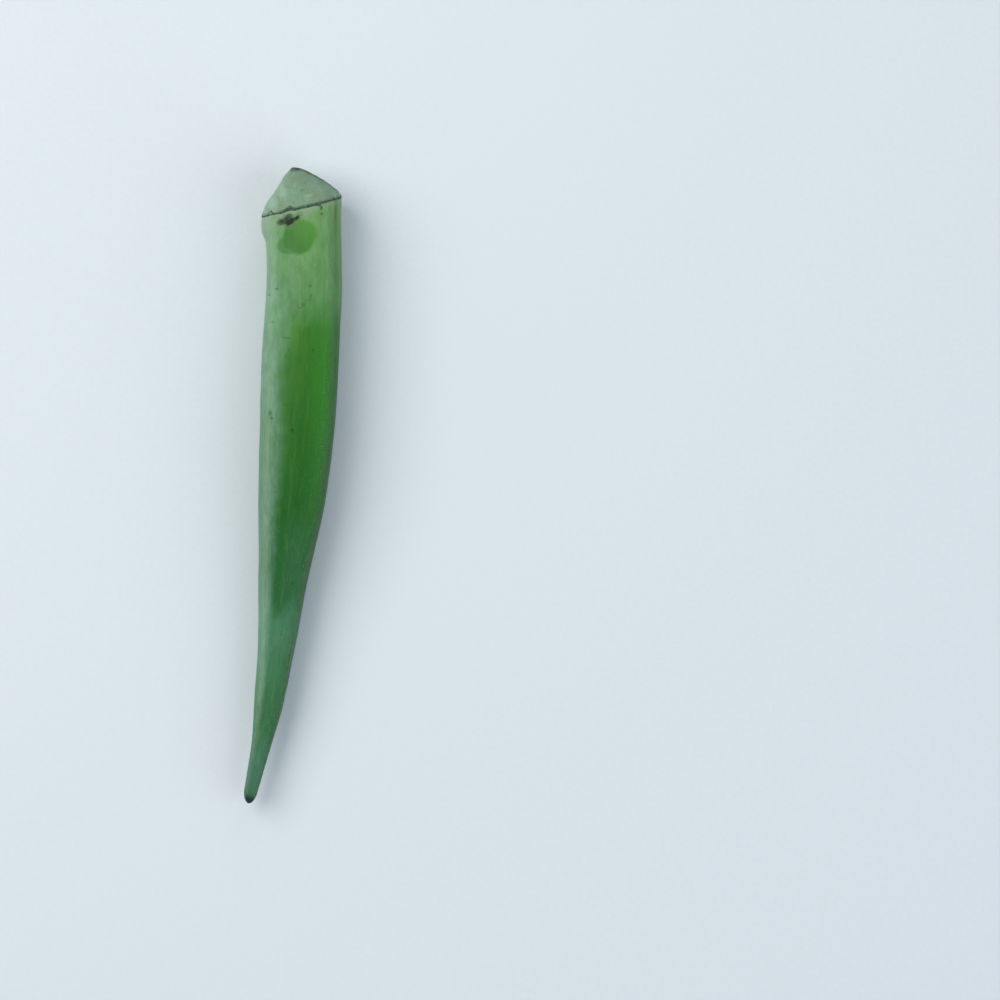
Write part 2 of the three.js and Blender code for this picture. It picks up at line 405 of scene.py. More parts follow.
# Noise is given in layers: height, cells round the pod, their length along it and a seed
podSkin = {
    "rows": 420,
    "columnsPerFace": 44,

    # relief, which grows with the radius up to this one
    "fullReliefRadius": 6,
    "leastRelief": 0.25,
    "tipFade": (0.6, 2.2),  # radii over which it fades in from the tip
    "scarFade": (0.1, 1.5),  # and distances below the scar
    "wander": [(0.5, 5, 19, 3)],  # ribs and seams stray sideways by a part of this
    "ribWander": 0.25,
    "seamWander": 0.6,
    "paleWander": 0.3,
    "ribHeight": 0.15,  # the fine rib along each crest
    "ribWidth": 0.5,
    "ribLeastWidth": 0.6,  # share of the width that is left near the tip
    "ribStrength": 0.8,
    "ribNoise": [(0.35, 5, 7, 4)],
    "seamHeight": 0.05,  # the seam between two chambers, in the middle of each face
    "seamWidth": 0.45,
    "swell": 0.13,  # broad soft unevenness
    "swellNoise": [(0.6, 6, 23, 5), (0.3, 11, 9, 6), (0.16, 24, 4.2, 7)],
    "fibre": 0.014,
    "fibreNoise": [(1, 90, 17, 8), (0.7, 64, 6, 9)],
    "dents": {
        "count": 16,
        "seed": 21,
        "depth": 0.14,
        "run": (8, 118),
        "halfLength": (2.0, 7.0),
        "halfWidth": (0.9, 2.2),
        "depthShare": (0.4, 1),
    },

    # the waxy bloom, with painted sheen and painted light on the lit left flank, in shares; its edges are in
    # degrees to the left of the top
    "bloomAndSheen": {
        "least": 0.02,
        "flank": 0.58,
        "flankEdge": (17, 46),
        "underEdge": (125, 165),
        "edgeNoise": [(3.5, 9, 8, 13), (3, 40, 2.2, 15)],  # how far the flank's edge strays, in degrees
        "edgeRuns": [(-12, *fromScar, 15, 22), (7.5, 38, 56, *toTip), (-3.5, 58, 76, *toTip)],
        "edgeBumps": [(5, 33, 6)],
        "core": 0.22,  # the middle of the flank has more
        "coreEdges": (45, 70, 110, 150),
        "flankRuns": [(-0.8, 88, 136, *toTip)],
        "flankBumps": [(-0.15, 98, 8)],
        "shoulder": 0.31,  # under the cap
        "shoulderEdge": (20, 29),
        "shoulderNoise": [(2.2, 13, 9, 18), (0.8, 50, 2, 19)],
        "runs": [(0.08, 90, 104, *toTip)],
        "bumps": [(0.07, 100, 7)],
        # the band at 42 degrees is painted light on the right face near the cap, which the lamp leaves darker
        "bands": [(0.13, 42, 12.6, *fromScar, 20, 30)],
        "clouds": [(0.08, 84, 9, 20, 16), (0.2, 29, 4, -20, 9)],
        "flankClouds": [(0.2, 28, 8)],
        "flankCloudEdge": (40, 52),
        "unevenness": [(0.25, 7, 14, 12)],
    },
    "rubbed": {  # it is rubbed off in a round patch below the scar
        "edge": (0.82, 1.06),
        "edgeNoise": [(0.1, 40, 3, 20)],
        # distance below the scar, sideways, half length, half width, share
        "patches": [(6.9, -0.7, 4.6, 4.4, 0.82), (8.4, -2.8, 2.95, 3.4, 0.6)],
    },
    "olive": {  # painted shade on the right face near the cap, beyond the ridge, where it turns away from the light
        "degrees": 63,
        "halfWidth": 8.6,
        "edgeNoise": [(2.87, 20, 5, 16)],
        "bumps": [(0.4, 2.5, 3.5)],
        "runs": [(0.5, *fromScar, 14, 34)],
    },
    "collar": {  # a pale collar that the calyx shaded
        "middle": 0.6,
        "halfLength": 0.65,
        "edgeNoise": [(0.3, 30, 3, 14)],
        "strength": 0.5,
        "noise": [(0.25, 11, 3, 17)],
        # the band at 15 degrees is a painted highlight just below the scar line; the other is the pale collar
        "bands": [(0.4, -58, 28.65, *fromScar, 2.5, 6.5), (0.45, 15, 12.6, *fromScar, 1.3, 3)],
    },
    "shadeBands": [(0.62, 78, 28.65, 20, 30, *toTip)],  # painted shade on the right flank, the side away from the light
    # painted shade on the right side of the taper
    "shadeClouds": [(0.4, 110, 14, 66, 28.65)],
    "litBands": [(0.26, 44, 19.5, 20, 32, 48, 92)],  # painted light on the face between the top and the right ridge, which the lamp leaves darker
    "ridgeWidth": 0.85,
    "paleRidgeWidth": 1.35,
    "leastRidgeWidth": 0.5,  # share of both widths that is left near the tip
    "ridgePaleness": [1, 0.12, 0.5, 0.8, 0.6],  # in the order of the ridges
    "paleDrift": [(0.45, 75, 20)],  # millimetres that the pale line lies beside the crest
    "paleFade": [(-0.8, 112, 134, *toTip)],
    "seamTintWidth": 0.6,

    # textures: scale along the pod against 1 across it, then scale, detail, roughness and distortion
    "textures": {
        "streaks": (0.05, 2.3, 4, 0.6),
        "fineStreaks": (0.09, 6.5, 3, 0.6),
        "mottle": (0.4, 0.42, 4, 0.6, 0.4),
        "cloud": (0.35, 0.13, 2, 0.5),
        "patchy": (0.3, 0.9, 5, 0.62, 0.5),
        "grain": (1, 9.0, 2, 0.6),
        "ragged": (1, 2.6, 3, 0.65),
    },
    "poreScale": 3.4,
    "speckScale": 0.42,
    "speckStretch": 0.7,
    # ranges of a texture or a place, and what their two ends become
    "ranges": {
        "tintWave": (0.3, 0.7, -0.05, 0.05),
        "deep": (0.45, 0.7, 0, 0.35),
        "seamStreaks": (0.5, 0.75, 0, 0.13),
        "seam": (0.35, 0.65, 0.02, 0.1),
        "rubbedTone": (-6.5, -0.5),
        "patchy": (0.35, 0.65, 0.55, 1),
        "rightTone": (-3.5, 4.5, 0, 1),
        "upperTone": (0.5, 0.65, 1, 0),
        "ridge": (0.35, 0.65, 0.14, 0.32),
        "darkStreaks": (0.3, 0.7, 0.0, 0.09),
        "tip": (0.9845, 0.993, 0, 0.66),
        "pore": (0.05, 0.22, 0.16, 0.0),
        "chosenCells": (0.72, 0.76),
        "speck": (0.05, 0.085, 1, 0),
        "ragged": (0.3, 0.7, -0.3, 0.3),
        "halo": (0.03, 0.4, 0, 0.7),
        "blemish": (0.35, 0.8, 0, 0.85),
        "heart": (0.75, 1.1, 0, 0.85),
        "gloss": (0.3, 0.7, 0.36, 0.47),
        "grainGloss": (0.3, 0.7, -0.04, 0.04),
        "poreDip": (0.0, 0.3, 1, 0),
    },
    "rubbedSlope": 0.6,  # how fast the rubbed tone changes along the pod, against 1 across it
    "bloomAndSheenShare": 0.6,
    "speckShare": 0.6,
    "markFade": (0.5, 1.5),  # in half sizes of a mark
    "blemishFade": (0.3, 1.35),
    "blemishRaggedness": 0.6,
    "dullBloomAndSheen": 0.35,
    "dullMarks": 0.3,
    "heights": {  # of the finest relief, which only the material has
        "streaks": 0.1, "fineStreaks": 0.035, "pores": 0.02, "grain": 0.02, "specks": 0.05, "marks": 0.08,
    },

    "tint": [  # along the pod from the scar to the tip
        (0.0, "#729a58"), (0.03, "#5f9143"), (0.12, "#477f30"), (0.19, "#3c7d28"), (0.27, "#2f6f1a"),
        (0.4, "#226516"), (0.52, "#195c18"), (0.575, "#1b602a"), (0.64, "#175c28"), (0.69, "#31754d"),
        (0.79, "#2a6d40"), (0.83, "#236336"), (0.87, "#2a6a3f"), (0.91, "#386e52"), (0.95, "#376750"),
        (0.975, "#284f41"), (0.99, "#1b352d"), (1.0, "#10150f"),
    ],
    "tones": {
        "ridge": "#9aba90",
        "seam": "#6f9f55",
        "pore": "#8fb271",
        "olive": "#4c6b38",
        "collar": "#8f9f91",
        "bloomAndSheen": ["#a7c7c0", "#a0d0a2"],  # bluer on the left, greener on the right
        "deep": "#1f5a1c",
        "rubbed": ["#35742a", "#4f8e31"],  # deeper on the left
        # painted shade of the right flank
        "side": "#0c530a",
        # painted light on the right face
        "litGreen": "#32a81c",
        "tip": "#03232d",
        "speck": "#33402a",
        "mark": "#2b3a22",
        "halo": "#5f7553",  # the outer part of the blemish
        "blemish": "#394c3a",
        "heart": "#1b2d14",
    },
    "finish": {  # of the whole surface
        "IOR": 1.4,
        "Specular IOR Level": 0.2,
        "Sheen Weight": 0.02,
        "Sheen Roughness": 0.4,
        "Sheen Tint": "#d5e6cf",
        "Subsurface Weight": 0.06,
        "Subsurface Scale": 1.2 * mm,
        "Subsurface Radius": (0.6, 1.0, 0.35),
    },
    # small dark marks: distance below the scar, sideways, half length, half width, strength
    "marks": [
        (0.35, 4.6, 0.55, 0.26, 0.7), (1.15, 4.9, 0.6, 0.26, 0.75), (2.55, 4.95, 0.33, 0.33, 0.5),
        (19.8, -6.2, 0.34, 0.3, 0.55), (21.3, -8.0, 0.22, 0.36, 0.4), (18.9, 1.85, 0.34, 0.28, 0.4),
        (21.3, 2.05, 0.42, 0.2, 0.4), (22.2, 1.85, 0.3, 0.2, 0.35), (23.5, 0.27, 0.5, 0.5, 0.3),
        (24.2, -0.42, 0.25, 0.45, 0.3), (27.9, -6.7, 0.25, 0.5, 0.3), (31.4, -3.1, 0.22, 0.9, 0.3),
        (34.2, -2.45, 0.4, 0.35, 0.3), (35.6, -3.1, 0.7, 0.3, 0.3), (33.9, 3.35, 0.36, 0.34, 0.45),
        (37.9, 3.45, 0.35, 0.25, 0.25), (47.1, -2.8, 0.2, 0.5, 0.25), (49.2, -6.25, 0.7, 0.32, 0.5),
        (50.4, -5.85, 0.35, 0.42, 0.45), (53.1, -0.85, 0.46, 0.5, 0.65), (67.7, -3.65, 0.24, 0.3, 0.4),
        (72.0, -1.35, 0.3, 0.25, 0.35), (88.9, 2.2, 0.25, 0.25, 0.4), (101.4, 0.9, 0.3, 0.2, 0.35),
    ],
    # the large soft blemish, in the same terms
    "blemish": [
        (2.2, -4.8, 0.95, 0.85, 0.5), (2.3, -3.75, 1.05, 0.9, 0.5), (1.35, -2.95, 0.9, 1.1, 0.6),
        (2.8, -2.7, 0.7, 0.9, 0.85), (3.4, -3.3, 0.4, 0.45, 0.3), (2.35, -1.8, 0.65, 0.95, 0.75),
        (2.1, -0.85, 0.55, 0.55, 0.72), (3.7, -2.1, 0.9, 1.3, 0.28), (2.2, -2.8, 1.6, 3.2, 0.25),
        (1.3, -0.3, 0.9, 1.1, 0.2), (0.6, -6.0, 0.8, 1.5, 0.2),
    ],
}


# Heights along the pod, each before its run
def addRuns(below, runs):
    return sum(height * between(below, *run) for height, *run in runs)


# Bumps along the pod: height, distance below the scar, half length
def addBumps(below, bumps):
    return sum(height * bump(below - middle, halfLength) for height, middle, halfLength in bumps)


# Stripes along the pod: share, degrees from the top, half width in degrees, run
def addBands(angle, below, bands):
    return sum(share * stripe(angle, degrees, halfWidth) * between(below, *run)
               for share, degrees, halfWidth, *run in bands)


# Clouds: share, distance below the scar, half length, degrees from the top, half width in degrees
def addClouds(angle, below, clouds):
    return sum(share * bump(below - middle, halfLength) * stripe(angle, degrees, halfWidth)
               for share, middle, halfLength, degrees, halfWidth in clouds)


# Shallow dents, set at random
def dentDepth(turn, below, radius):
    dents = podSkin["dents"]
    dice = np.random.default_rng(dents["seed"])
    depth = 0
    for _ in range(dents["count"]):
        dentBelow, dentTurn = dice.uniform(*dents["run"]), dice.uniform(0, 1)
        halfLength, halfWidth = dice.uniform(*dents["halfLength"]), dice.uniform(*dents["halfWidth"])
        offTurn = (turn - dentTurn + 0.5) % 1 - 0.5
        reachOff = offTurn * 2 * math.pi * radius
        farOff = np.hypot((below - dentBelow) / halfLength, reachOff / halfWidth)
        depth = depth + dents["depth"] * dice.uniform(*dents["depthShare"]) * bump(farOff, 1)
    return depth


# Fine relief, in millimetres above the plain form
def reliefHeight(turn, below, radius, thick, toRib, toSeam):
    ribs = bump(toRib, podSkin["ribWidth"] * np.clip(thick, podSkin["ribLeastWidth"], 1))
    ribs = ribs * (podSkin["ribStrength"] + noiseLayers(turn, below, podSkin["ribNoise"]))
    seams = bump(toSeam, podSkin["seamWidth"])
    relief = podSkin["ribHeight"] * ribs * thick + podSkin["seamHeight"] * seams * thick
    relief = relief + podSkin["swell"] * thick * noiseLayers(turn, below, podSkin["swellNoise"])
    relief = relief + podSkin["fibre"] * noiseLayers(turn, below, podSkin["fibreNoise"])
    relief = relief - dentDepth(turn, below, radius)
    return relief * smoothRise(radius, *podSkin["tipFade"]) * smoothRise(below, *podSkin["scarFade"])


# The bloom is thick on the left flank, where it also carries painted sheen and painted light, and thin under
# the cap and towards the tip
def bloomAndSheenField(turn, angle, below):
    bloomAndSheen = podSkin["bloomAndSheen"]
    left = -np.degrees(turnFrom(angle, 0))
    ragged = noiseLayers(turn, below, bloomAndSheen["edgeNoise"])
    ragged = ragged + addRuns(below, bloomAndSheen["edgeRuns"]) + addBumps(below, bloomAndSheen["edgeBumps"])
    flank = smoothRise(left + ragged, *bloomAndSheen["flankEdge"]) * (1 - smoothRise(left, *bloomAndSheen["underEdge"]))
    flank = flank + bloomAndSheen["core"] * between(left, *bloomAndSheen["coreEdges"])
    flank = flank * (1 + addRuns(below, bloomAndSheen["flankRuns"]) + addBumps(below, bloomAndSheen["flankBumps"]))
    wavyBelow = below + noiseLayers(turn, below, bloomAndSheen["shoulderNoise"])
    share = bloomAndSheen["least"] + bloomAndSheen["flank"] * flank
    share = share + bloomAndSheen["shoulder"] * (1 - smoothRise(wavyBelow, *bloomAndSheen["shoulderEdge"]))
    share = share + addRuns(below, bloomAndSheen["runs"]) + addBumps(below, bloomAndSheen["bumps"])
    share = share + addBands(angle, below, bloomAndSheen["bands"]) + addClouds(angle, below, bloomAndSheen["clouds"])
    share = share + addBumps(below, bloomAndSheen["flankClouds"]) * smoothRise(left, *bloomAndSheen["flankCloudEdge"])
    return np.clip(share * (1 + noiseLayers(turn, below, bloomAndSheen["unevenness"])), 0, 1)


# Where the bloom is rubbed off; only the upper half counts
def rubbedField(turn, angle, below, side):
    rubbed = podSkin["rubbed"]
    ragged = noiseLayers(turn, below, rubbed["edgeNoise"]) + (np.cos(angle) < 0)
    share = 0 * side
    for patchBelow, patchSide, halfLength, halfWidth, most in rubbed["patches"]:
        toPatch = np.hypot((below - patchBelow) / halfLength, (side - patchSide) / halfWidth) + ragged
        share = np.maximum(share, most * (1 - smoothRise(toPatch, *rubbed["edge"])))
    return share


# Painted shade on the right face near the cap
def shadedFaceField(turn, angle, below):
    olive = podSkin["olive"]
    off = np.degrees(turnFrom(angle, olive["degrees"])) + noiseLayers(turn, below, olive["edgeNoise"])
    share = addBumps(below, olive["bumps"]) + addRuns(below, olive["runs"])
    return bump(off, olive["halfWidth"]) * share


def collarField(turn, angle, below):
    collar = podSkin["collar"]
    halfLength = collar["halfLength"] + noiseLayers(turn, below, collar["edgeNoise"])
    share = bump(below - collar["middle"], halfLength)
    share = share * (collar["strength"] + noiseLayers(turn, 0 * below, collar["noise"]))
    return np.clip(share + addBands(angle, below, collar["bands"]), 0, 1)


# How pale the crests are, each by its own share
def paleRidgeField(position, below, fromCrest, plain, wander, ridgeTaper):
    toPale = np.where(position % 1 < 0.5, fromCrest, -fromCrest) * plain
    toPale = toPale + addBumps(below, podSkin["paleDrift"]) + wander
    paleness = np.array(podSkin["ridgePaleness"])[np.round(position).astype(int) % ridgeCount]
    paleness = paleness * (1 + addRuns(below, podSkin["paleFade"]))
    return paleness * bump(toPale, podSkin["paleRidgeWidth"] * ridgeTaper)


def makePodGrid():
    below, radius = podRows(podSkin["rows"])
    position = latheColumns(podSkin["columnsPerFace"])
    below, radius, position = below[:, None], radius[:, None], position[None, :]
    angle, lift, fromCrest, fromSeam = ridgeField(position, below)
    turn = position / ridgeCount
    plain = radius * (1 + lift * podRise(below))
    thick = np.clip(radius / podSkin["fullReliefRadius"], podSkin["leastRelief"], 1)
    wander = noiseLayers(turn, below, podSkin["wander"])
    toRib = fromCrest * plain + podSkin["ribWander"] * wander
    toSeam = fromSeam * plain + podSkin["seamWander"] * wander
    reach = plain + reliefHeight(turn, below, radius, thick, toRib, toSeam)
    below = np.broadcast_to(below, reach.shape)
    grid = bendPod(reach * np.sin(angle), below, reach * np.cos(angle))

    side = plain * np.sin(angle)
    ridgeTaper = np.clip(thick, podSkin["leastRidgeWidth"], 1)
    paleWander = podSkin["paleWander"] * wander
    rubbed = rubbedField(turn, angle, below, side)
    # painted shade on the right flank and the taper
    shadedSide = addBands(angle, below, podSkin["shadeBands"]) + addClouds(angle, below, podSkin["shadeClouds"])
    fields = {
        "straight": np.stack([side, -below, plain * np.cos(angle)], -1),
        "ridge": bump(toRib, podSkin["ridgeWidth"] * ridgeTaper),
        "paleRidge": paleRidgeField(position, below, fromCrest, plain, paleWander, ridgeTaper),
        "seam": bump(toSeam, podSkin["seamTintWidth"]),
        "bloomAndSheen": bloomAndSheenField(turn, angle, below) * (1 - rubbed),
        "olive": shadedFaceField(turn, angle, below),
        "collar": collarField(turn, angle, below),
        "rubbed": rubbed,
        "shadedSide": shadedSide,
        "litSide": addBands(angle, below, podSkin["litBands"]),
    }
    return grid, fields


# How far the plain form is from the frame's pod; both have the same outline
def frameShift():
    below, radius = podRows(podForm["measureRows"])
    position = latheColumns(podForm["measureColumns"])
    below, radius, position = below[:, None], radius[:, None], position[None, :]
    angle, lift, _, _ = ridgeField(position, below)
    reach = radius * (1 + lift * podRise(below))
    grid = bendPod(reach * np.sin(angle), np.broadcast_to(below, reach.shape), reach * np.cos(angle))
    low, high = (np.array(corner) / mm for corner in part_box("pod"))
    middle = (grid[..., 0].min() + grid[..., 0].max()) / 2
    return np.array([(low[0] + high[0]) / 2 - middle, low[1] + podForm["length"], 0])


# A place on the top of the straight pod
def podPlace(below, side):
    radius = float(podRadius(max(below, podForm["outline"][0][0])))
    return (side, -below, math.sqrt(max(radius ** 2 - side ** 2, 0)))


# Spots on the pod: each fades out between two distances, counted in its own half sizes
def podSpots(tree, straight, spots, ragged, fade, way):
    total = None
    for below, side, halfLength, halfWidth, strength in spots:
        distance = spotDistance(tree, straight, podPlace(below, side), halfLength, halfWidth)
        spot = remap(tree, calculate(tree, "ADD", distance, ragged), *fade, strength, 0, True)
        total = spot if total is None else calculate(tree, way, total, spot)
    return total


# The green under the bloom and its painted sheen, with painted shade on the right flank and painted light on
# the face beside it
def greenColor(tree, lengthShare, towardsRight, texture):
    tones, ranges = podSkin["tones"], podSkin["ranges"]
    wavyShare = calculate(tree, "ADD", lengthShare, remap(tree, texture["cloud"], *ranges["tintWave"]))
    color = colorSteps(tree, wavyShare, podSkin["tint"])
    color = mixColors(tree, remap(tree, texture["mottle"], *ranges["deep"]), color, tones["deep"])
    color = mixColors(tree, remap(tree, texture["streaks"], *ranges["seamStreaks"]), color, tones["seam"])
    seamShare = remap(tree, texture["streaks"], *ranges["seam"])
    seamShare = calculate(tree, "MULTIPLY", readField(tree, "seam"), seamShare)
    color = mixColors(tree, seamShare, color, tones["seam"])
    rubbedTone = mixColors(tree, remap(tree, towardsRight, *ranges["rubbedTone"]), *tones["rubbed"])
    color = mixColors(tree, readField(tree, "rubbed"), color, rubbedTone)
    color = mixColors(tree, readField(tree, "shadedSide"), color, tones["side"])
    return mixColors(tree, readField(tree, "litSide"), color, tones["litGreen"])


# Pale ridges, fine streaks, the painted shade of the right face near the cap, the collar with its painted
# highlight, and the tip, over the bloom and its painted sheen
def surfaceColor(tree, color, lengthShare, patchy, texture):
    tones, ranges = podSkin["tones"], podSkin["ranges"]
    ridgeShare = remap(tree, texture["streaks"], *ranges["ridge"])
    ridgeShare = calculate(tree, "MULTIPLY", readField(tree, "paleRidge"), ridgeShare)
    color = mixColors(tree, ridgeShare, color, tones["ridge"])
    darkShare = remap(tree, texture["fineStreaks"], *ranges["darkStreaks"])
    color = mixColors(tree, darkShare, color, tones["deep"], "MULTIPLY")
    color = mixColors(tree, readField(tree, "olive"), color, tones["olive"])
    collarShare = calculate(tree, "MULTIPLY", readField(tree, "collar"), patchy)
    color = mixColors(tree, collarShare, color, tones["collar"])
    return mixColors(tree, remap(tree, lengthShare, *ranges["tip"], True), color, tones["tip"])


# Dark specks in some of the cells, chosen by one channel of their random colours
def speckShare(tree, straight, skin, channel):
    cells = cellPattern(tree, stretched(tree, straight, (1.0, skin["speckStretch"], 1.0)), skin["speckScale"])
    cellColor = addNode(tree, "SeparateColor", {0: cells.outputs["Color"]})
    chosen = remap(tree, cellColor.outputs[channel], *skin["ranges"]["chosenCells"])
    speck = remap(tree, cells.outputs["Distance"], *skin["ranges"]["speck"], True)
    return calculate(tree, "MULTIPLY", speck, chosen)


# Small marks with ragged edges, and the blemish, soft at its outside and nearly black in its heart
def addMarks(tree, color, straight, texture):
    tones, ranges = podSkin["tones"], podSkin["ranges"]
    ragged = remap(tree, texture["ragged"], *ranges["ragged"])
    markShare = podSpots(tree, straight, podSkin["marks"], ragged, podSkin["markFade"], "MAXIMUM")
    color = mixColors(tree, markShare, color, tones["mark"])
    softly = calculate(tree, "MULTIPLY", ragged, podSkin["blemishRaggedness"])
    stain = podSpots(tree, straight, podSkin["blemish"], softly, podSkin["blemishFade"], "ADD")
    for part in ("halo", "blemish", "heart"):
        color = mixColors(tree, remap(tree, stain, *ranges[part], True), color, tones[part])
    return color, calculate(tree, "MAXIMUM", markShare, stain, True)


def podMaterial():
    tones, ranges = podSkin["tones"], podSkin["ranges"]
    material, tree, shader = startMaterial("waxyGreenSkin", podSkin["finish"])
    straight = readField(tree, "straight", "Vector")
    side, length, _ = addNode(tree, "SeparateXYZ", {0: straight}).outputs
    lengthShare = remap(tree, length, 0.0, -podForm["length"])
    slope = calculate(tree, "MULTIPLY", length, podSkin["rubbedSlope"])
    texture = makeTextures(tree, straight, podSkin["textures"])
    pores = cellPattern(tree, straight, podSkin["poreScale"]).outputs["Distance"]
    color = greenColor(tree, lengthShare, calculate(tree, "ADD", side, slope), texture)

    # bloom and its painted sheen lie in soft uneven patches
    patchy = remap(tree, texture["patchy"], *ranges["patchy"])
    bloomAndSheenShare = calculate(tree, "MULTIPLY", readField(tree, "bloomAndSheen"), patchy)
    bloomAndSheenShare = calculate(tree, "MULTIPLY", bloomAndSheenShare, podSkin["bloomAndSheenShare"])
    greenish = calculate(tree, "MULTIPLY", remap(tree, side, *ranges["rightTone"], True),
                         remap(tree, lengthShare, *ranges["upperTone"]))
    color = mixColors(tree, bloomAndSheenShare, color, mixColors(tree, greenish, *tones["bloomAndSheen"]))
    color = surfaceColor(tree, color, lengthShare, patchy, texture)

    color = mixColors(tree, remap(tree, pores, *ranges["pore"]), color, tones["pore"])
    specks = speckShare(tree, straight, podSkin, 0)
    color = mixColors(tree, calculate(tree, "MULTIPLY", specks, podSkin["speckShare"]), color, tones["speck"])
    color, markShare = addMarks(tree, color, straight, texture)
    tree.links.new(color, shader.inputs["Base Color"])

    gloss = remap(tree, texture["mottle"], *ranges["gloss"])
    dullness = calculate(tree, "MULTIPLY", bloomAndSheenShare, podSkin["dullBloomAndSheen"])
    gloss = calculate(tree, "ADD", gloss, dullness)
    gloss = calculate(tree, "ADD", gloss, calculate(tree, "MULTIPLY", markShare, podSkin["dullMarks"]), True)
    gloss = calculate(tree, "ADD", gloss, remap(tree, texture["grain"], *ranges["grainGloss"]), True)
    tree.links.new(gloss, shader.inputs["Roughness"])

    texture["pores"] = remap(tree, pores, *ranges["poreDip"])
    texture["specks"] = specks
    texture["marks"] = remap(tree, markShare, 0, 1, 1, 0)
    tree.links.new(raiseTextures(tree, texture, podSkin["heights"]), shader.inputs["Normal"])
    return material


shift = frameShift()
podGrid, podFields = makePodGrid()
podGrid[..., 2] = np.maximum(podGrid[..., 2], 0)  # it lies flat where it rests
pod = meshFromGrid("podSkin", podGrid, shift, podFields)
pod.data.materials.append(podMaterial())
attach(pod, "root")
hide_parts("pod")
print("pod skin:", len(pod.data.polygons), "faces")


# The stem cap

